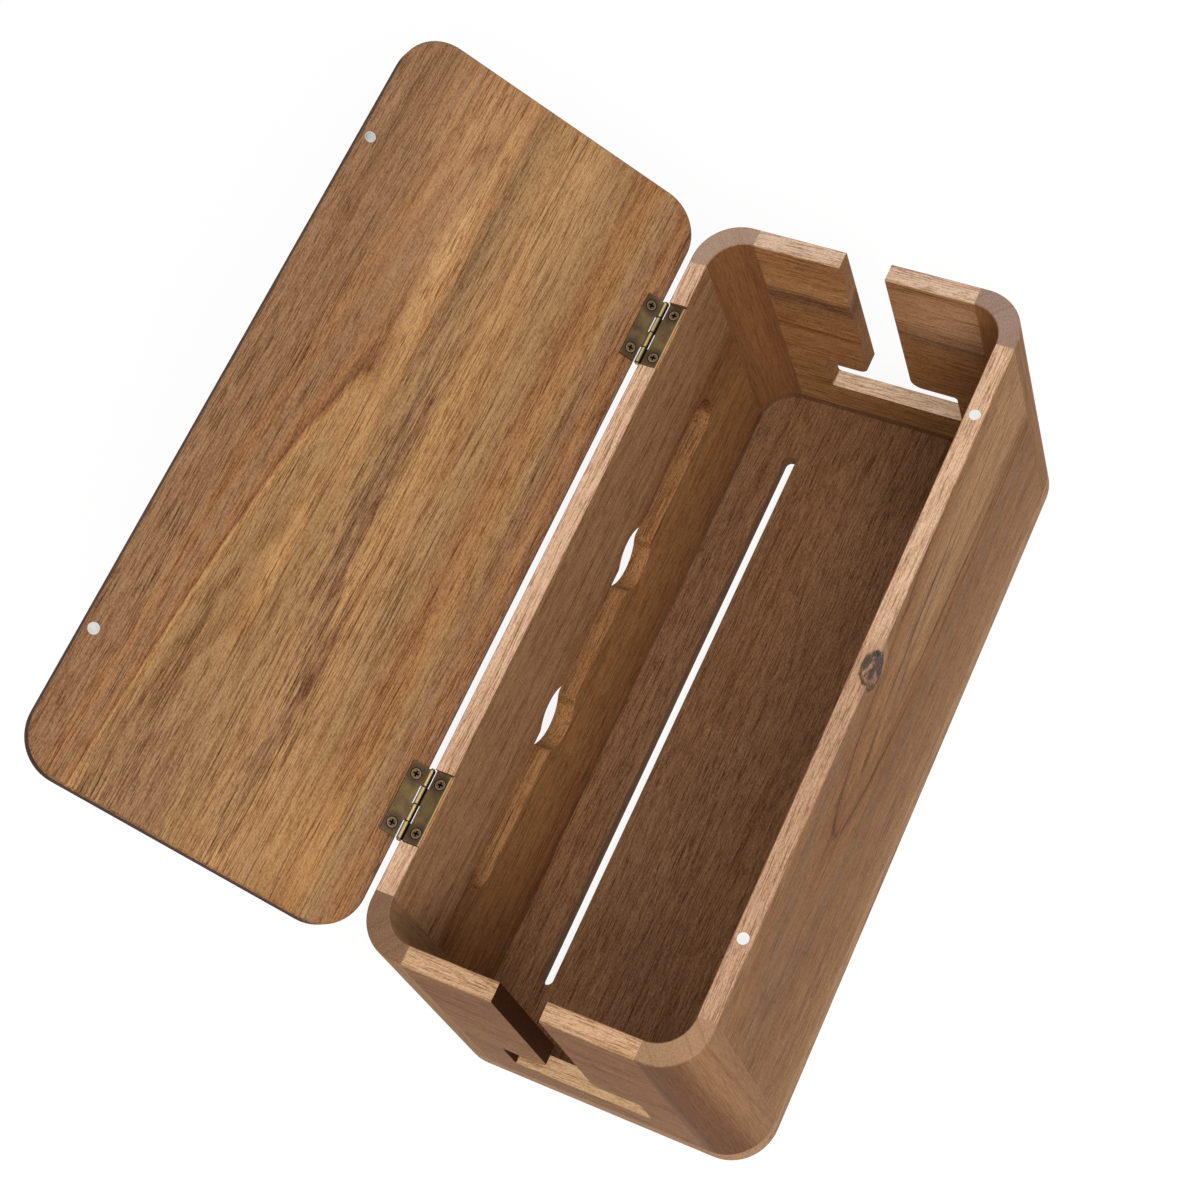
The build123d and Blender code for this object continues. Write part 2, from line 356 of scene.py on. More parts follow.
# %% [markdown]
# ## Fibres, grit and pores
#
# Over all this lie the finer things: wide soft streaks, hair-fine fibres, the grit that sanding leaves, and
# the open pores that give acacia its dark dashes. Most are a fraction of a millimetre wide, too fine to
# model, so stretched noise makes them. Where a pattern is low it darkens the wood, and where it is high it
# lightens it. The two keep each other in balance, so the wood as a whole stays about as bright as its bands.

# %% Fine texture
STREAKS = {"scale": (9, 210, 210), "detail": 4.0, "roughness": 0.65}
FIBRES = {"scale": (85, 2000, 2000), "detail": 2.0, "roughness": 0.75}
GRIT = {"scale": (900, 1900, 1900), "detail": 1.0}
DASHES = {"scale": (28, 2800, 2800), "detail": 1.0}
CROWDS = {"scale": (13, 130, 130)}

# A dash is a pore where its noise passes the start, which a crowd lowers. The soft value is its edge's width.
PORES_START = 0.85
PORES_CROWD = 0.45
PORES_SOFT = 0.045
PORE_TINT = linear(100, 74, 58)

# How each pattern changes the wood: how it is laid on, the noise where it starts and is full, and its tint.
RING_LAYERS = [("MULTIPLY", 0.50, 0.30, linear(190, 160, 138))]
STREAK_LAYERS = [("MULTIPLY", 0.50, 0.25, linear(226, 212, 200)), ("SCREEN", 0.52, 0.78, linear(52, 42, 28))]
FIBRE_LAYERS = [("MULTIPLY", 0.52, 0.34, linear(192, 176, 162)), ("SCREEN", 0.50, 0.68, linear(64, 51, 35))]
GRIT_LAYERS = [("MULTIPLY", 0.54, 0.30, linear(230, 224, 218)), ("SCREEN", 0.46, 0.70, linear(60, 42, 28))]


def layered(tree, colour, pattern, layers, amount):
    """A colour with a fine pattern on it. Each layer is (how, start, full, tint)."""
    for how, start, full, tint in layers:
        colour = blended(tree, how, between(tree, pattern, start, full, amount), colour, tint)
    return colour


def pore_dashes(tree, level, seed):
    """1 in an open pore: sparse dashes, crowded in some places."""
    dashes = noise(tree, level, shift=(0, seed, 0), **DASHES)
    crowd = noise(tree, level, shift=(0, 0, seed), **CROWDS)
    edge = arithmetic(tree, "MULTIPLY_ADD", crowd, -PORES_CROWD, PORES_START)
    return between(tree, arithmetic(tree, "SUBTRACT", dashes, edge), 0.0, PORES_SOFT)


for name, pattern in (("streaks", STREAKS), ("fibres", FIBRES), ("grit", GRIT), ("pores", DASHES)):
    along, across = (1 / MM / count for count in pattern["scale"][:2])
    print(f"{name}: about {along:.1f} mm long and {across:.2f} mm apart")

# %% [markdown]
# ## Rims, outer faces and ends
#
# The cut edges of a board are sanded after oiling, so they are paler than its faces. Their pale colour is
# partly painted light from above: a painted sheen on the rims and painted light on the sills. End grain
# drinks more oil and turns darker. Each could be a material of its own on its own faces, but the edges are
# rounded and a border between two materials would show. The direction that the surface faces tells them apart
# more softly.

# %% Rims, outer faces and ends
FACE_UP = (0, 0, 1)
GRAIN_AXIS = {"x": (1, 0, 0), "y": (0, 1, 0), "z": (0, 0, 1), "lid": (1, 0, 0)}
RIM_COVER = 0.8
SIDE_COVER = 0.75
SIDE_BORDER = 2 * MM

# How closely a face looks along a direction, 1 being straight along it, where its colour starts and is full.
RIM_TURN = (0.5, 0.9)
SIDE_TURN = (0.9, 0.6)
END_TURN = (0.55, 0.9)
EDGE_TURN = (0.45, 0.15)


# The rim colour is partly sanded wood and partly painted light from above.
def rim_mask(tree, spot, upwards, rim_from):
    """Where the rim's colour goes: on faces that look up, from rim_from mm upwards."""
    high = between(tree, split(tree, spot)["Z"], (rim_from - 1) * MM, rim_from * MM)
    return arithmetic(tree, "MULTIPLY", between(tree, upwards, *RIM_TURN, RIM_COVER), high)


def with_rim(tree, colour, spot, mask, rim):
    """The rim's colour, which changes along one axis."""
    axis, stops = rim
    return blended(tree, "MIX", mask, colour, colour_by(tree, split(tree, spot)[axis], stops))


def with_sides(tree, colour, spot, normal, upwards, tint):
    """A colour on the upright faces that look away from the middle of the box."""
    upright = between(tree, arithmetic(tree, "ABSOLUTE", upwards), *SIDE_TURN, SIDE_COVER)
    outward = vector(tree, "DOT_PRODUCT", normal, vector(tree, "MULTIPLY", spot, (1, 1, 0)))
    outside = between(tree, outward, -SIDE_BORDER, SIDE_BORDER)
    return blended(tree, "MIX", arithmetic(tree, "MULTIPLY", upright, outside), colour, tint)


def with_end_grain(tree, colour, normal, grain, tint):
    """The tint of end grain, on faces that look along the grain."""
    facing = arithmetic(tree, "ABSOLUTE", vector(tree, "DOT_PRODUCT", normal, GRAIN_AXIS[grain]))
    return blended(tree, "MULTIPLY", between(tree, facing, *END_TURN), colour, tint)


# Painted shade: the lid's long edges are darkened as if little light reached them.
def with_long_edge_shade(tree, colour, normal, tint):
    """Painted shade on the lid's edges, on faces that look across its thickness."""
    thickness_axis = shut_from_open.inverted().to_3x3() @ Vector(FACE_UP)
    flat = arithmetic(tree, "ABSOLUTE", vector(tree, "DOT_PRODUCT", normal, thickness_axis))
    return blended(tree, "MULTIPLY", between(tree, flat, *EDGE_TURN), colour, tint)


print(f"a rim's colour covers {RIM_COVER:.0%}, an outer face's {SIDE_COVER:.0%}")

# %% [markdown]
# ## The wood finish
#
# The oil leaves a soft sheen, slightly uneven over the fibres, and a shallow bump sinks the pores. One
# function then puts a piece of wood together from its trunk and its layers. Eleven materials could each be
# wired on their own, but they are one kind of wood with one finish, so they share one recipe and differ only
# in where their trunk lies and what grew in it.

# %% An oiled surface
OIL_ROUGHNESS = 0.55
OIL_UNEVEN = 0.16
OIL_GLOSS = 0.03
PORE_DEPTH = 0.10 * MM
FACE_HEIGHT = 0.6
FIBRE_RELIEF = 0.35
WOOD_BUMP = 0.3


def oiled(tree, shader, colour, fibres, open_pores):
    """Gives the shader its colour, an uneven film of oil and a bump that sinks the open pores."""
    sunk = arithmetic(tree, "SUBTRACT", FACE_HEIGHT, open_pores)
    height = arithmetic(tree, "MULTIPLY_ADD", fibres, FIBRE_RELIEF, sunk)
    bump = add(tree, "Bump", {"Strength": WOOD_BUMP, "Distance": PORE_DEPTH, "Height": height})
    film = arithmetic(tree, "MULTIPLY_ADD", fibres, OIL_UNEVEN, OIL_ROUGHNESS - OIL_UNEVEN / 2)
    tree.links.new(colour, shader.inputs["Base Color"])
    tree.links.new(film, shader.inputs["Roughness"])
    tree.links.new(bump.outputs["Normal"], shader.inputs["Normal"])
    shader.inputs["Specular IOR Level"].default_value = OIL_GLOSS


print(f"oil: roughness {OIL_ROUGHNESS}, pores {PORE_DEPTH / MM:.2f} mm deep")

# %% A piece of wood
RIM_CALM = 0.7
RIM_PORES = 0.4
END_TINT = linear(196, 178, 168)


def wood(name, grain, pith, lean, bands, seed, sway=3.0, ragged=1.5, lines=0.3, pores=0.55, texture=1.0,
         clouds=(), arches=(), knots=(), rim=None, rim_from=0.0, sides=None, end_tint=END_TINT,
         edge_shade=None):
    """Oiled acacia from one trunk, by its grain, its pith and its bands. Lengths are in mm, leans in degrees.

    Sway and ragged bend its lines, and lines, pores and texture say how strong its fine patterns are. The rim
    is an axis and (mm, colour) stops along it, for faces that look up from rim_from upwards. Sides is the
    colour of upright outer faces, and the two tints are for end grain and for the lid's long edges."""
    material, tree, shader = new_material(name)
    place = add(tree, "TexCoord").outputs
    spot, normal = place["Object"], place["Normal"]
    upwards = vector(tree, "DOT_PRODUCT", normal, FACE_UP)
    bent = swayed(tree, mapped(tree, spot, grain_frame(grain, pith, lean)), seed, sway)
    level = swayed(tree, mapped(tree, spot, grain_frame(grain, pith)), seed, sway)
    radius = distance_from_axis(tree, bent)
    rings = growth_rings(tree, bent, radius, seed)
    streaks = noise(tree, level, shift=(5 * seed, 0, 0), **STREAKS)
    fibres = noise(tree, level, shift=(seed, 0, 0), **FIBRES)
    grit = noise(tree, level, shift=(0, 0, seed), **GRIT)
    open_pores = pore_dashes(tree, level, seed)

    colour = band_colour(tree, radius, rings, bands, ragged)
    colour = with_clouds(tree, colour, spot, grain, clouds, arithmetic(tree, "ADD", streaks, fibres))
    colour = with_arches(tree, colour, spot, grain, arches, seed, sway)
    on_rim = rim_mask(tree, spot, upwards, rim_from) if rim else 0.0
    if rim:
        colour = with_rim(tree, colour, spot, on_rim, rim)
    if sides:
        colour = with_sides(tree, colour, spot, normal, upwards, sides)

    # Sanding calms the streaks and fills some of the pores on a rim.
    calm = arithmetic(tree, "MULTIPLY_ADD", on_rim, -RIM_CALM * texture, texture)
    deep = arithmetic(tree, "MULTIPLY_ADD", on_rim, -RIM_PORES * pores, pores)
    colour = layered(tree, colour, rings, RING_LAYERS, lines)
    colour = layered(tree, colour, streaks, STREAK_LAYERS, calm)
    colour = layered(tree, colour, fibres, FIBRE_LAYERS, texture)
    colour = layered(tree, colour, grit, GRIT_LAYERS, texture)
    colour = blended(tree, "MULTIPLY", arithmetic(tree, "MULTIPLY", open_pores, deep), colour, PORE_TINT)

    for centre, size in knots:
        colour = with_knot(tree, colour, spot, centre, size)
    colour = with_end_grain(tree, colour, normal, grain, end_tint)
    # Painted shade on the lid's long edges.
    if edge_shade:
        colour = with_long_edge_shade(tree, colour, normal, edge_shade)
    oiled(tree, shader, colour, fibres, open_pores)
    return material


print(f"sanding takes {RIM_CALM:.0%} of a rim's streaks and {RIM_PORES:.0%} of its pores")

# %% [markdown]
# ## Colours of the wood
#
# Acacia runs from straw to chocolate in one plank. The boards share a small palette, as pieces cut from the
# same few trunks do. Picking a new colour for every band would be quicker, but the box would look put
# together from different woods.

# %% Colours of the wood
PALE = linear(216, 181, 151)
GOLDEN = linear(186, 143, 92)
HONEY = linear(172, 130, 85)
SAND = linear(178, 136, 97)
ROSY = linear(163, 123, 88)
AMBER = linear(166, 118, 74)
TAN = linear(160, 121, 82)
OLIVE = linear(152, 117, 79)
ORANGE = linear(157, 112, 71)
DUSKY = linear(152, 112, 79)
RUSSET = linear(148, 105, 69)
BROWN = linear(138, 103, 74)
ASH = linear(128, 97, 71)
CHESTNUT = linear(138, 94, 60)
UMBER = linear(126, 91, 65)
WALNUT = linear(112, 74, 47)
COCOA = linear(112, 72, 46)
NO_TINT = (1, 1, 1, 1)
print(f"the palest wood sends back {PALE[1] / COCOA[1]:.1f} times the green light of the darkest")

# %% [markdown]
# ## Lid
#
# The two staves come from different trunks, so the glue line between them shows as a sharp change of colour.
# The free-edge stave has a flame that points along the lid, the hinge-side stave one dark streak that rises
# towards the glue line and straight golden grain beside it. One trunk for the whole lid would be simpler,
# but it would hide that the lid is glued up. The flame comes from the leaning pith, the rest from clouds.


# %% Finish for a solid
def finish(name, material):
    """Gives a solid its finish, and says how large the network is."""
    slots = nodes[name].data.materials
    slots.clear()
    slots.append(material)
    print(f"{name}: {material.name}, {len(material.node_tree.nodes)} shader nodes")


print("solids to finish:", len(nodes))

# %% Lid staves
LID_LEVEL = rim_height / MM + 4
# The lid's long edges are darkened by a painted shade.
LID_EDGE_SHADE = linear(160, 128, 108)
CLOUD_DEPTH = 40
FLAME = {"pith": (34, -20, LID_LEVEL + 36), "lean": (0, 2.9)}


def lid_cloud(along, across, length, width, tint, amount, lean=0):
    """A long cloud through the lid: its middle, half length, half width, colour and amount, and its lean."""
    return (along, across, LID_LEVEL), (lean, 0), (length, width, CLOUD_DEPTH), tint, amount


finish("lid_stave_front", wood(
    "lid_front_wood", "lid", seed=3, lines=0.4, edge_shade=LID_EDGE_SHADE, **FLAME,
    bands=[(24, OLIVE), (30, BROWN), (34, OLIVE), (37.6, OLIVE), (39.6, HONEY), (40.1, COCOA), (40.9, RUSSET),
           (43, BROWN), (46, RUSSET), (50, BROWN), (58, BROWN), (66, BROWN)],
    arches=[(FLAME["pith"], FLAME["lean"], 36.0, 0.6, OLIVE, 0.4)],
    clouds=[lid_cloud(16, -14, 46, 5, HONEY, 0.9),
            lid_cloud(-52, -19, 52, 6, linear(182, 138, 90), 0.85),
            lid_cloud(100, -16.5, 82, 7.5, linear(196, 154, 104), 1.0),
            lid_cloud(140, -30, 90, 22, SAND, 0.85),
            lid_cloud(-140, -32, 34, 12, BROWN, 0.7, lean=3)]))
finish("lid_stave_back", wood(
    "lid_back_wood", "lid", seed=11, lines=0.5, edge_shade=LID_EDGE_SHADE,
    pith=(0, 129, LID_LEVEL + 60), lean=(0, 0),
    bands=[(88, UMBER), (92, RUSSET), (97, BROWN), (100, OLIVE), (105, ORANGE), (110, RUSSET), (116, OLIVE),
           (124, TAN), (134, HONEY), (140, TAN), (150, OLIVE)],
    clouds=[lid_cloud(-128, 10.5, 72, 6.5, ASH, 0.8, lean=1),
            lid_cloud(-62, 5.5, 55, 6, ASH, 0.7, lean=-7),
            lid_cloud(-62, 8.0, 50, 2, COCOA, 0.5, lean=-7),
            lid_cloud(4, 1.5, 74, 6, ASH, 0.8, lean=-1),
            lid_cloud(4, 4.0, 70, 2, COCOA, 0.5, lean=-1),
            lid_cloud(90, -5, 90, 6, ASH, 0.55, lean=-2),
            lid_cloud(132, 16, 60, 20, linear(182, 145, 102), 0.5),
            lid_cloud(-138, 40, 30, 24, GOLDEN, 0.5)]))

# %% [markdown]
# ## Long boards
#
# The front and the back board run along the box. The front board was cut close to its pith, so it has a
# flame with a few dark growth lines and one knot above it. The back board was cut further out and is nearly
# plain. Both have pale sanded rims, with painted light from above in their colour. The knot could be grown
# in three dimensions too, but it shows on one face only, so it and the shade beside it are laid on where they
# belong.

# %% Front and back boards
FRONT_FACE = -half_width / MM
RIM_LEVEL = rim_height / MM
FRONT_PITH = (-49, FRONT_FACE + 33.5, 89.5)
FRONT_LEAN = (-9.2, 4.6)
ARCH_LEAN = (-2.4, 2.4)


def even(colour):
    """A rim of one colour."""
    return "X", [(-1, colour), (1, colour)]


finish("front_board", wood(
    "front_wood", "x", pith=FRONT_PITH, lean=FRONT_LEAN, seed=5, sway=4.0, lines=0.35, pores=0.4, ragged=2.0,
    rim=("X", [(-140, linear(186, 150, 124)), (-10, linear(186, 150, 122)), (30, PALE), (140, PALE)]),
    rim_from=RIM_LEVEL - 1, knots=[((1, FRONT_FACE, 126), (8.5, 5.5, 8))],
    bands=[(2, SAND), (12, SAND), (22, linear(170, 129, 90)), (28, ORANGE), (31, RUSSET), (33, CHESTNUT),
           (34, CHESTNUT), (37, RUSSET), (44, BROWN), (52, RUSSET), (60, DUSKY), (70, DUSKY), (78, TAN),
           (86, ROSY), (100, ORANGE), (115, ROSY)],
    arches=[(FRONT_PITH, FRONT_LEAN, 33.4, 0.6, COCOA, 0.8),
            ((-21, FRONT_FACE + 30, 86.5), ARCH_LEAN, 30.0, 0.7, COCOA, 0.65),
            ((10, FRONT_FACE + 30, 84.5), ARCH_LEAN, 30.0, 0.7, COCOA, 0.5)],
    clouds=[((40, FRONT_FACE, 104), (4, 0), (26, 30, 5), UMBER, 0.7)]))
finish("back_board", wood(
    "back_wood", "x", pith=(0, 180, 150), lean=(0.5, 0.6), seed=8, sway=5, lines=0.5,
    rim=even(PALE), rim_from=RIM_LEVEL - 1,
    bands=[(60, PALE), (110, SAND), (120, ROSY), (127, ROSY), (136, ROSY), (142, CHESTNUT), (152, ORANGE),
           (160, AMBER), (175, ORANGE), (200, CHESTNUT)]))

# %% [markdown]
# ## End boards
#
# The end boards run across the box. Their cut-outs have two levels that face up, the rim and the sill of the
# inverted T, so the pale colour there changes with height. Each could be a layer of its own, but one colour
# that changes along an axis does both. That pale colour is partly painted light, brightest on the right
# board's sill. The right board was cut from livelier wood, with bolder lines and a lighter patch. Its end
# grain is hardly tinted, and the left board's is tinted darker.

# %% End boards
SILL_LEVEL = 28
RIM_TOP = 127
finish("end_board_left", wood(
    "left_end_wood", "y", pith=(0, 100, 240), lean=(1.0, 0.4), seed=13, sway=5, end_tint=linear(110, 92, 84),
    rim=("Z", [(SILL_LEVEL, linear(206, 170, 130)), (RIM_TOP, linear(199, 163, 128))]),
    bands=[(60, BROWN), (110, RUSSET), (150, CHESTNUT), (190, RUSSET), (260, DUSKY)]))
finish("end_board_right", wood(
    "right_end_wood", "y", pith=(0, -80, 240), lean=(1.5, 1.5), seed=17, sway=5, lines=0.8,
    rim=("Z", [(SILL_LEVEL, linear(228, 200, 172)), (RIM_TOP, linear(208, 182, 160))]),
    end_tint=linear(236, 232, 236),
    clouds=[((-34, -155, 108), (0, -4), (34, 20, 26), linear(196, 154, 120), 0.8)],
    bands=[(130, AMBER), (150, linear(172, 124, 80)), (158, linear(182, 134, 88)), (164, UMBER),
           (169, RUSSET), (178, AMBER), (200, AMBER), (260, HONEY)]))

# %% [markdown]
# ## Posts and base
#
# The posts stand upright, as they do in a box that is glued up this way, so their tops are end grain and
# look greyer than the rims beside them. Each could be written out like a board, but only four things tell
# them apart, so they are rows of a table. The base board runs along the box, and its outer edge is paler
# than the floor inside.

# %% Posts and base
POSTS = {"post_front_left": ((0, -160, 60), 21, linear(160, 128, 99),
                             [(112, DUSKY), (128, DUSKY), (137, WALNUT), (147, WALNUT), (152, BROWN)]),
         "post_front_right": ((0, -160, -60), 23, linear(146, 125, 116),
                              [(115, BROWN), (130, ORANGE), (150, CHESTNUT)]),
         "post_back_left": ((0, 160, 60), 25, linear(114, 88, 70), [(115, TAN), (130, BROWN), (150, TAN)]),
         "post_back_right": ((0, 160, -60), 27, linear(166, 143, 126),
                             [(115, WALNUT), (126, CHESTNUT), (150, linear(132, 88, 54))])}
for post, (pith, seed, top, bands) in POSTS.items():
    finish(post, wood(post + "_wood", "z", pith=pith, lean=(2, 1), seed=seed, pores=0.2, texture=0.5,
                      rim=even(top), end_tint=NO_TINT, bands=bands))
finish("base_board", wood(
    "base_wood", "x", pith=(0, 20, -160), lean=(0.5, 1.2), seed=31, sway=6, pores=0.4, end_tint=NO_TINT,
    sides=linear(190, 152, 118),
    bands=[(100, HONEY), (130, GOLDEN), (150, RUSSET), (168, UMBER), (180, RUSSET)]))

# %% [markdown]
# ## Metal
#
# The hinges are folded from thin brass sheet and aged in a bath, so the flats are brown to olive, and darker
# round the screws. Knuckles and free edges get painted highlights, and the knuckles painted shade on their
# other side. Light and wear could be found from how sharp an edge is, but such a small hinge has few faces to
# find it from. So they are painted by place, in a frame that sits on the pin and looks down on a leaf, and
# one frame does for each kind of leaf.

# %% A frame on each kind of leaf
pin_low, pin_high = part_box("hinge_pin_right")
leaf_low, leaf_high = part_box("hinge_box_leaf_right")
hinge_offset = (pin_low.x + pin_high.x) / 2
leaf_edge = leaf_low.y - hinge_point.y
knuckle_length = (leaf_high.x - leaf_low.x) / 4
ON_PIN = Matrix.Translation(-hinge_point)
LEAF_FRAME = {"box": ON_PIN, "lid": Matrix.Rotation(radians(180), 4, "Y") @ ON_PIN @ shut_from_open}
LEAF_FACE = -0.15 * MM
BARREL = 1.25 * MM
SCREW_ALONG = 10.1 * MM
SCREW_ROW = 5.2 * MM
SCREW_HEAD = 1.95 * MM


def from_hinge_middle(tree, on_leaf):
    """How far along the pin a place lies from the middle of its hinge."""
    return arithmetic(tree, "SUBTRACT", arithmetic(tree, "ABSOLUTE", split(tree, on_leaf)["X"]), hinge_offset)


def distance_from_screw(tree, on_leaf):
    """How far a place lies from the nearest screw's middle line, in the leaf's frame."""
    along = arithmetic(tree, "ABSOLUTE", from_hinge_middle(tree, on_leaf))
    along = arithmetic(tree, "SUBTRACT", along, SCREW_ALONG)
    across = arithmetic(tree, "ADD", split(tree, on_leaf)["Y"], SCREW_ROW)
    return vector(tree, "LENGTH", add(tree, "CombineXYZ", {0: along, 1: across}).outputs[0])


print(f"hinges {hinge_offset / MM:.1f} mm from the middle, knuckles {knuckle_length / MM:.1f} mm long")

# %% [markdown]
# ## Hinge leaves
#
# A leaf has two parts, painted in different ways. The flat stays dark, darker round the screws, with a
# painted shadow in the gap round a screw's head, and only its edges get a painted highlight. The knuckles
# have a painted highlight on one side, painted shade on their other side and painted shade in the joints.
# Each of these could be modelled as a change of shape, but they are only changes of colour, so one layer for
# each does it.

# %% Leaf colours
AGED_BRASS = [(0.32, linear(114, 92, 68)), (0.62, linear(148, 124, 84))]
SCREW_SHADE = linear(96, 76, 64)
SCREW_GAP_SHADOW = linear(30, 24, 20)
SIDE_HIGHLIGHT = linear(226, 192, 132)
EDGE_HIGHLIGHT = linear(255, 226, 168)
KNUCKLE_SHADE = linear(34, 26, 20)
KNUCKLE_HALF_LIT = linear(150, 122, 80)
KNUCKLE_HIGHLIGHT = linear(255, 232, 176)
KNUCKLE_UNDER = linear(150, 124, 84)
KNUCKLE_JOINT_SHADE = linear(36, 28, 22)

# Which way the painted light runs across a knuckle, and how far across it is shaded, half lit and lit.
LIT_SIDE = {"box": (0.5, (0.10, 0.22, 0.5)), "lid": (-0.5, (0.42, 0.56, 0.84))}

# Where a layer starts and where it is full: by distance from a screw, by place across the leaf, by the
# direction that a side faces, by distance from a knuckle's end and by distance from the pin.
SHADE_REACH = (6 * MM, 2.2 * MM)
GAP_SHADOW_REACH = (SCREW_HEAD + 0.55 * MM, SCREW_HEAD + 0.2 * MM)
EDGE_REACH = (leaf_edge + 0.7 * MM, leaf_edge + 0.4 * MM)
SIDE_FACING = (-0.75, -0.95)
JOINT_SHADE_REACH = (0.45 * MM, 0.2 * MM)
BARREL_REACH = (BARREL + 0.25 * MM, BARREL)


def flat_colour(tree, place, on_leaf, cloud, kind):
    """The flat of a leaf: darker round the screws, and on the box leaf a painted highlight at its edges."""
    from_screw = distance_from_screw(tree, on_leaf)
    colour = ramp(tree, cloud, AGED_BRASS)
    colour = blended(tree, "MIX", between(tree, from_screw, *SHADE_REACH, 0.85), colour, SCREW_SHADE)
    # Painted shadow in the gap round each screw head.
    colour = blended(tree, "MIX", between(tree, from_screw, *GAP_SHADOW_REACH, 0.9), colour, SCREW_GAP_SHADOW)
    if kind == "lid":
        return colour
    # Painted highlights on the box leaf's inner side and edge.
    side = between(tree, split(tree, place["Normal"])["Y"], *SIDE_FACING, 0.8)
    colour = blended(tree, "MIX", side, colour, SIDE_HIGHLIGHT)
    edge = between(tree, split(tree, on_leaf)["Y"], *EDGE_REACH, 0.8)
    return blended(tree, "MIX", edge, colour, EDGE_HIGHLIGHT)


def knuckle_colour(tree, on_leaf, kind):
    """A knuckle: painted highlight on one side, painted shade on the other, with a painted shade in the joint
    at each end.
    """
    turn, (in_shade, dull, bright) = LIT_SIDE[kind]
    # Painted highlight and painted shade across the knuckle, by which side of the pin a place lies on.
    round_pin = arithmetic(tree, "MULTIPLY_ADD", split(tree, on_leaf)["Y"], turn / BARREL, 0.5)
    colour = ramp(tree, round_pin, [(in_shade, KNUCKLE_SHADE), (dull, KNUCKLE_HALF_LIT), (bright, KNUCKLE_HIGHLIGHT),
                                    (1.0, KNUCKLE_UNDER)])
    along = arithmetic(tree, "ADD", from_hinge_middle(tree, on_leaf), 4 * knuckle_length)
    from_end = arithmetic(tree, "PINGPONG", along, knuckle_length / 2)
    # Painted shade in the joint between knuckles.
    return blended(tree, "MIX", between(tree, from_end, *JOINT_SHADE_REACH, 0.85), colour, KNUCKLE_JOINT_SHADE)


def leaf_colour(kind):
    """Aged brass for one kind of leaf, as a function of its tree, its place and slow noise."""
    def colour_of(tree, place, cloud):
        on_leaf = mapped(tree, place["Object"], LEAF_FRAME[kind])
        flat = flat_colour(tree, place, on_leaf, cloud, kind)
        on_knuckle = between(tree, distance_from_axis(tree, on_leaf), *BARREL_REACH)
        return blended(tree, "MIX", on_knuckle, flat, knuckle_colour(tree, on_leaf, kind))
    return colour_of


print("kinds of leaf:", list(LIT_SIDE))

# %% [markdown]
# ## Screws, pins and magnets
#
# A screw's face is as brown as the leaf, with a painted highlight on its rim. Everything below the face is
# the cross slot, painted dark as shade in the recess. It could get a material of its own, but height alone
# tells it apart. The pin is drawn wire, hardly aged. The magnets are nickel plated, with a painted highlight
# on a small bevel, and those in the box are painted paler and less metallic than those in the lid, as lit and
# shaded copies of one nickel.

# %% Screw, pin and magnet colours
magnet_low, magnet_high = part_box("box_magnet_right")
magnet_middle = (magnet_low + magnet_high) / 2
magnet_radius = (magnet_high.x - magnet_low.x) / 2
SCREW_BRASS = [(0.35, linear(128, 102, 78)), (0.65, linear(164, 136, 104))]
SCREW_RIM_HIGHLIGHT = linear(206, 178, 136)
SCREW_SLOT_SHADE = linear(18, 14, 12)
WIRE_BRASS = [(0.35, linear(176, 146, 96)), (0.65, linear(214, 186, 130))]
NICKEL_HIGHLIGHT = linear(240, 238, 234)
RIM_REACH = (SCREW_HEAD - 0.5 * MM, SCREW_HEAD - 0.1 * MM)
SLOT_REACH = (LEAF_FACE - 0.03 * MM, LEAF_FACE - 0.12 * MM)
BEVEL_REACH = (0.8 * magnet_radius, 0.9 * magnet_radius)


def screw_colour(kind):
    """Aged brass screw: everything below its face, which is the cross, is painted dark as shade in the
    recess.
    """
    def colour_of(tree, place, cloud):
        on_leaf = mapped(tree, place["Object"], LEAF_FRAME[kind])
        from_screw = distance_from_screw(tree, on_leaf)
        # Painted highlight on the rim of the screw head.
        rim = between(tree, from_screw, *RIM_REACH, 0.6)
        colour = blended(tree, "MIX", rim, ramp(tree, cloud, SCREW_BRASS), SCREW_RIM_HIGHLIGHT)
        # Painted shade in the cross slot.
        sunk = between(tree, split(tree, on_leaf)["Z"], *SLOT_REACH)
        return blended(tree, "MIX", sunk, colour, SCREW_SLOT_SHADE)
    return colour_of


def pin_colour(tree, place, cloud):
    """Drawn brass wire, hardly aged."""
    return ramp(tree, cloud, WIRE_BRASS)


def magnet_colour(to_shut, face):
    """Nickel plate with a painted highlight on the bevel round it."""
    def colour_of(tree, place, cloud):
        part = split(tree, mapped(tree, place["Object"], Matrix.Translation(-magnet_middle) @ to_shut))
        along = arithmetic(tree, "ABSOLUTE", arithmetic(tree, "ADD", part["X"], magnet_middle.x))
        along = arithmetic(tree, "ABSOLUTE", arithmetic(tree, "SUBTRACT", along, magnet_middle.x))
        off = vector(tree, "LENGTH", add(tree, "CombineXYZ", {0: along, 1: part["Y"]}).outputs[0])
        flat = ramp(tree, cloud, [(0.3, face), (0.7, NICKEL_HIGHLIGHT)])
        # Painted highlight on the magnet's bevel.
        return blended(tree, "MIX", between(tree, off, *BEVEL_REACH), flat, NICKEL_HIGHLIGHT)
    return colour_of


print(f"magnets {magnet_middle.x / MM:.1f} mm from the middle, {2 * magnet_radius / MM:.1f} mm across")

# %% [markdown]
# ## Metal finishes
#
# They could be wired one by one, but under its colour every metal here is the same: rough in slow patches,
# with brush marks too fine to see one by one. So one function makes them all, from a function that gives the
# colour.

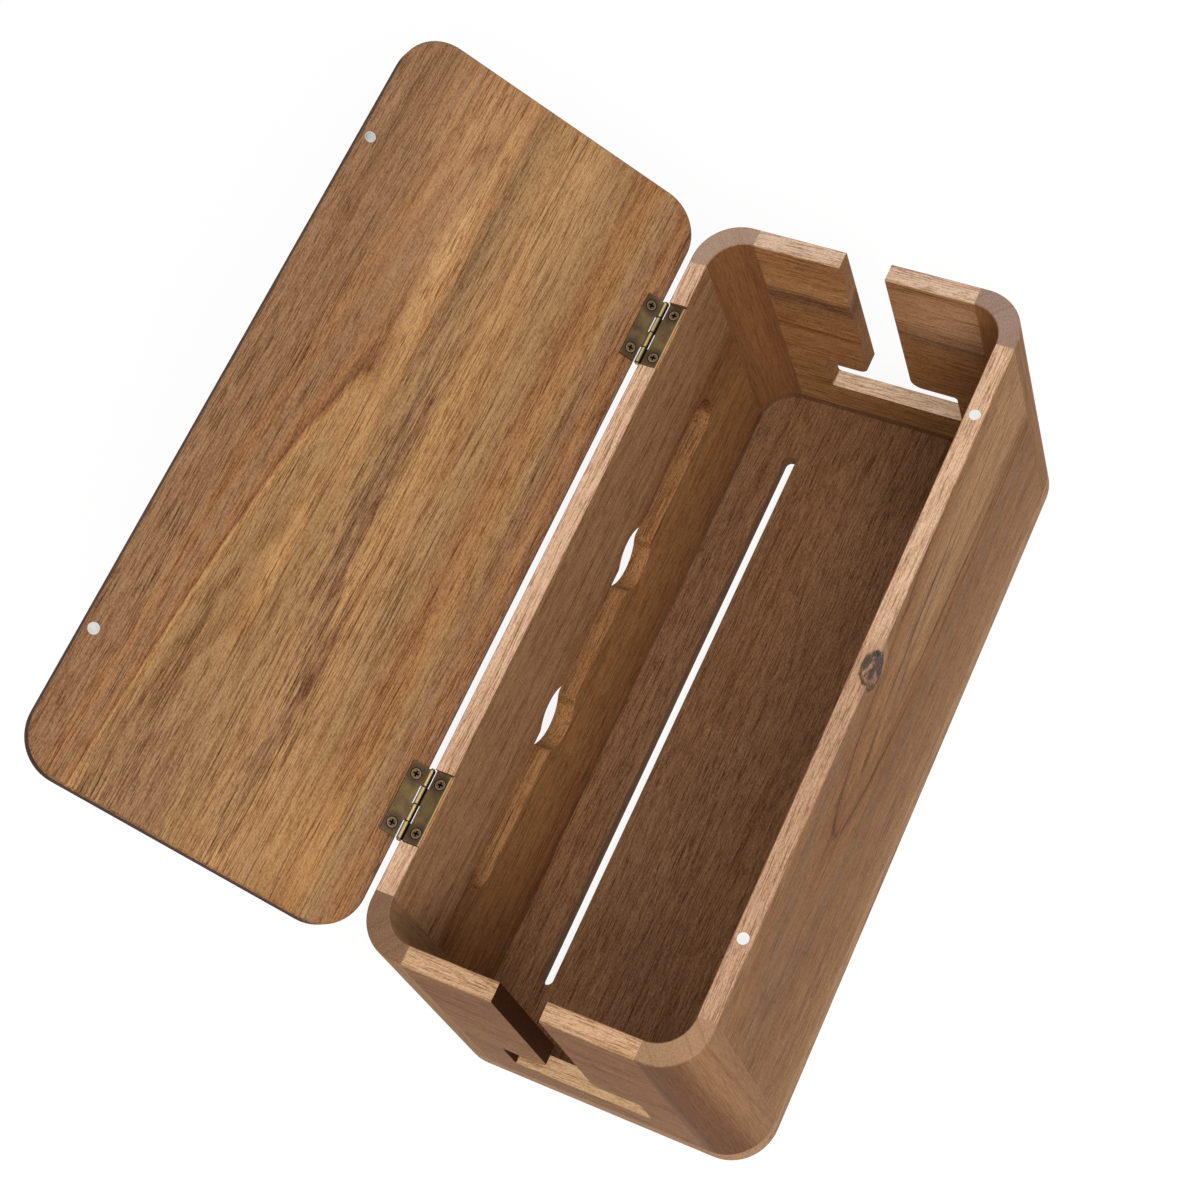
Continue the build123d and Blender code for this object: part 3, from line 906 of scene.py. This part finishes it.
# %% Hinges and magnets
PATCHES = {"scale": (150, 190, 190), "detail": 4.0, "roughness": 0.6}
BRUSH_SCALE = (700, 4200, 4200)
BRUSH_DEPTH = 0.02 * MM
METAL_BUMP = 0.2
PATCHINESS = 0.2
ROUGHNESS = {"wire": 0.3, "screw": 0.36, "nickel": 0.4, "leaf": 0.42}


def metal(name, colour_of, roughness, metallic=1.0):
    """Metal whose colour comes from its tree, its place and slow noise, with fine brush marks."""
    material, tree, shader = new_material(name)
    place = add(tree, "TexCoord").outputs
    cloud = noise(tree, place["Object"], **PATCHES)
    brushed = noise(tree, place["Object"], BRUSH_SCALE)
    bump = add(tree, "Bump", {"Strength": METAL_BUMP, "Distance": BRUSH_DEPTH, "Height": brushed})
    rough = arithmetic(tree, "MULTIPLY_ADD", cloud, PATCHINESS, roughness - PATCHINESS / 2)
    tree.links.new(colour_of(tree, place, cloud), shader.inputs["Base Color"])
    tree.links.new(rough, shader.inputs["Roughness"])
    tree.links.new(bump.outputs["Normal"], shader.inputs["Normal"])
    shader.inputs["Metallic"].default_value = metallic
    return material


# Lit and shaded copies of one nickel: the box magnets are painted paler and less metallic, the lid ones
# darker.
MAGNETS = {"box": (Matrix.Identity(4), linear(230, 228, 224), 0.35),
           "lid": (shut_from_open, linear(204, 206, 202), 1.0)}
brass_wire = metal("brass_wire", pin_colour, ROUGHNESS["wire"])
for kind, (to_shut, face, metallic) in MAGNETS.items():
    leaf = metal(f"{kind}_leaf_brass", leaf_colour(kind), ROUGHNESS["leaf"])
    screw = metal(f"{kind}_screw_brass", screw_colour(kind), ROUGHNESS["screw"])
    nickel = metal(f"{kind}_magnet_nickel", magnet_colour(to_shut, face), ROUGHNESS["nickel"], metallic)
    for side in ("left", "right"):
        finish(f"hinge_{kind}_leaf_{side}", leaf)
        finish(f"hinge_{kind}_screws_{side}", screw)
        finish(f"{kind}_magnet_{side}", nickel)
for side in ("left", "right"):
    finish(f"hinge_pin_{side}", brass_wire)

# %% [markdown]
# ## Floor
#
# The box stands on a plain white floor. A brighter lamp could turn the floor white, but it would bleach the
# wood as well. So the floor glows a little, and only for the rays of the camera and of glossy reflections,
# which leaves the box's light alone and keeps its shadow on the floor.

# %% Floor
FLOOR_SIZE = 8.0
PAPER_GREY = linear(190, 190, 190)
PAPER_ROUGHNESS = 0.9
GLOW_STRENGTH = 1.2
GLOW_SHARE = 0.72
floor_mesh = bpy.data.meshes.new("floor")
sheet = bmesh.new()
bmesh.ops.create_grid(sheet, x_segments=1, y_segments=1, size=FLOOR_SIZE / 2)
sheet.to_mesh(floor_mesh)
sheet.free()
floor = bpy.data.objects.new("floor", floor_mesh)
bpy.context.scene.collection.objects.link(floor)

paper, paper_tree, paper_shader = new_material("paper")
paper_shader.inputs["Base Color"].default_value = PAPER_GREY
paper_shader.inputs["Roughness"].default_value = PAPER_ROUGHNESS
paper_shader.inputs["Specular IOR Level"].default_value = 0.0
glow = add(paper_tree, "Emission", {"Color": (1, 1, 1, 1), "Strength": GLOW_STRENGTH})
ray = add(paper_tree, "LightPath").outputs
seen = arithmetic(paper_tree, "ADD", ray["Is Camera Ray"], ray["Is Glossy Ray"])
share = arithmetic(paper_tree, "MULTIPLY", seen, GLOW_SHARE)
surface = add(paper_tree, "MixShader", {0: share, 1: paper_shader.outputs[0], 2: glow.outputs[0]})
paper_tree.links.new(surface.outputs[0], paper_tree.nodes["Material Output"].inputs["Surface"])
floor_mesh.materials.append(paper)
print(f"floor: {FLOOR_SIZE} m square, glow {GLOW_SHARE * GLOW_STRENGTH:.2f} of white")

# %% [markdown]
# ## Light
#
# Plain studio light: an even white world, and three large soft lamps, one overhead, one at the front left
# and one on the far side. One lamp would do, but the rounded corners would lose their shape on its far side.
# The level is set so that a colour comes out about as it is written.

# %% Light
WORLD_STRENGTH = 0.42
LAMP_TARGET = Vector((0, 0, 0.05))
LAMPS = {"overhead": ((-0.6, -0.6, 1.7), 1.1, 18),
         "front_left": ((-1.0, -0.95, 1.25), 0.9, 15),
         "far_side": ((1.7, 0.1, 0.7), 0.8, 12)}
world = bpy.data.worlds.new("studio")
bpy.context.scene.world = world
world.use_nodes = True
world.node_tree.nodes["Background"].inputs["Color"].default_value = (1, 1, 1, 1)
world.node_tree.nodes["Background"].inputs["Strength"].default_value = WORLD_STRENGTH


def softbox(name, place, size, power):
    """Square lamp that faces the box."""
    lamp = bpy.data.objects.new(name, bpy.data.lights.new(name, "AREA"))
    lamp.data.shape = "SQUARE"
    lamp.data.size = size
    lamp.data.energy = power
    aim = (LAMP_TARGET - Vector(place)).to_track_quat("-Z", "Y")
    lamp.matrix_world = Matrix.Translation(place) @ aim.to_matrix().to_4x4()
    bpy.context.scene.collection.objects.link(lamp)
    print(f"lamp {name}: {power} W from {size} m square")


for name, (place, size, power) in LAMPS.items():
    softbox(name, place, size, power)

# %% [markdown]
# ## Count and close
#
# The dressed part has to stay inside the solids' own box. The script ends by counting the solids that got a
# finish.

# %% Close
dressed = [name for name, node in nodes.items() if len(node.data.materials) == 1]
print("solids with a finish:", len(dressed), "of", len(nodes))
